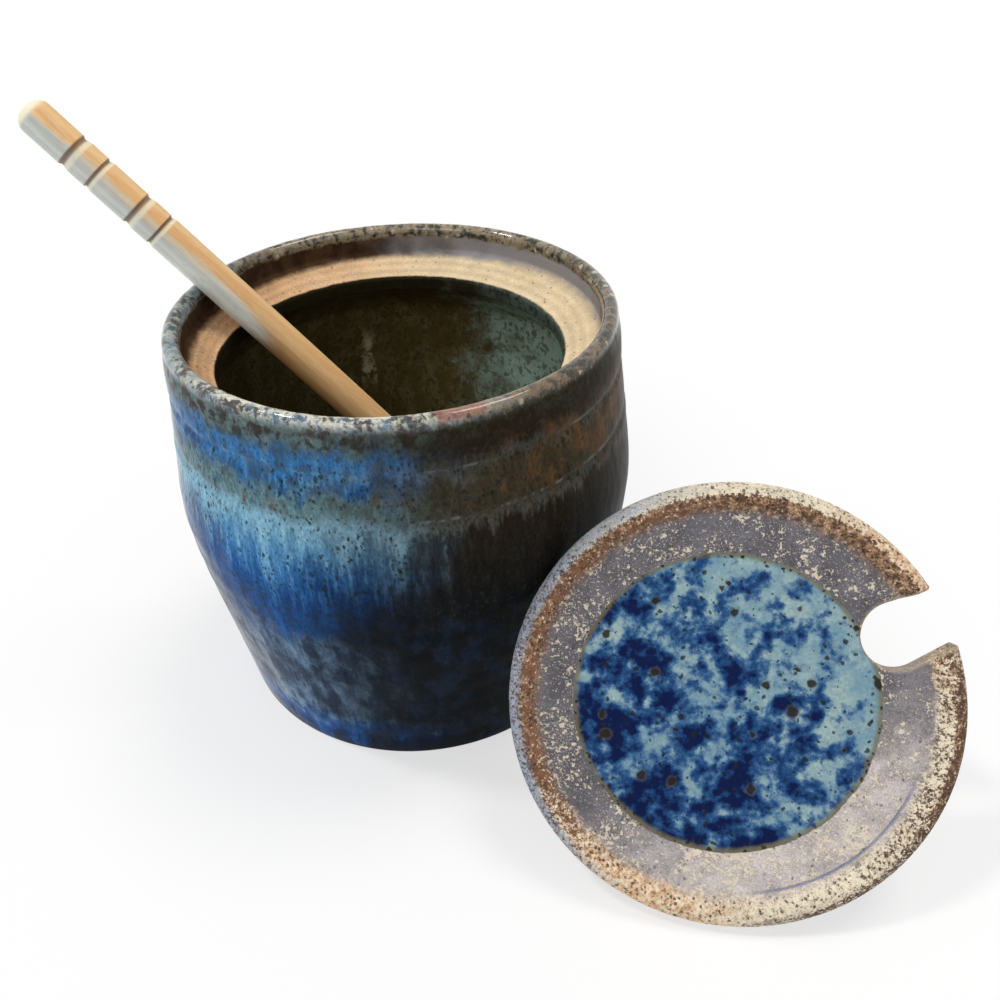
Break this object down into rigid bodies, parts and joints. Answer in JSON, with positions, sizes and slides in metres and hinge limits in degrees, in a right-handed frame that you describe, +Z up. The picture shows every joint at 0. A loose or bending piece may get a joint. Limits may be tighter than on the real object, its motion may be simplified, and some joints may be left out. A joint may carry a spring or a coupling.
{
  "type": "honey pot",
  "caption": "Glazed stoneware honey pot, open, with its notched lid leaning against it and a turned wooden honey dipper standing inside.",
  "frame": {"origin": "middle of the pot's foot, on the surface it stands on", "axes": "+Z up along the pot's turned axis; the lid leans on the pot's +X -Y side, and the dipper leans over the lip on its -X side"},
  "size_m": [0.1949, 0.1756, 0.1515],
  "materials": {
    "pot_glaze": "gloss",
    "bare_clay": "matte",
    "wood": "satin"
  },
  "bodies": {
    "root": {"pot": "pot_glaze", "lid": "bare_clay", "dipper": "wood"}
  },
  "joints": []
}
